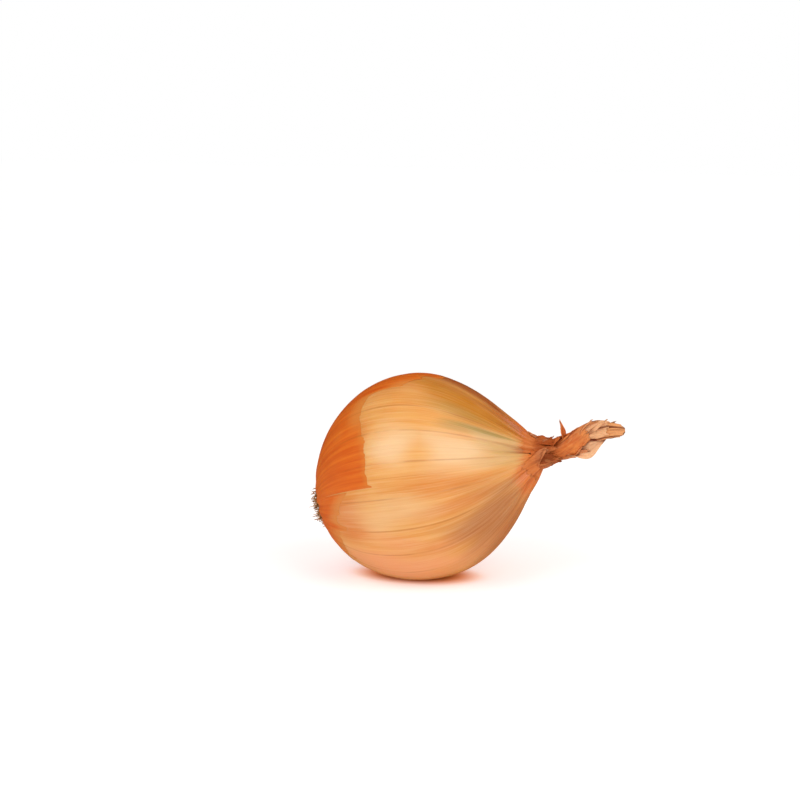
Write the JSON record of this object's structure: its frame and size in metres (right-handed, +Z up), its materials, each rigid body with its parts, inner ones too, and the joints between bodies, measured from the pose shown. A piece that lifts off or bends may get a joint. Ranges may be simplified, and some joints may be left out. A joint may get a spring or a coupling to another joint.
{
  "type": "yellow onion",
  "caption": "Whole dry yellow onion lying on its side, with ribbed golden skin, torn darker outer skin, twisted papery neck and dried rootlets.",
  "frame": {"origin": "middle of the onion's box, at the level of the surface it rests on", "axes": "+X from the roots to the neck, +Z up as it lies on its side"},
  "size_m": [0.119, 0.0756, 0.0753],
  "materials": {
    "bulb": "smooth dry golden skin with a soft gloss and fine darker veins",
    "outer_skin": "thin papery deep orange skin with a soft gloss and a torn edge",
    "neck": "matt withered leaf, folded lengthwise",
    "roots": "dull dry rootlets on a dark brown plate"
  },
  "bodies": {
    "root": {"bulb": "bulb", "outer_skin": "outer_skin", "neck": "neck", "roots": "roots"}
  },
  "joints": []
}
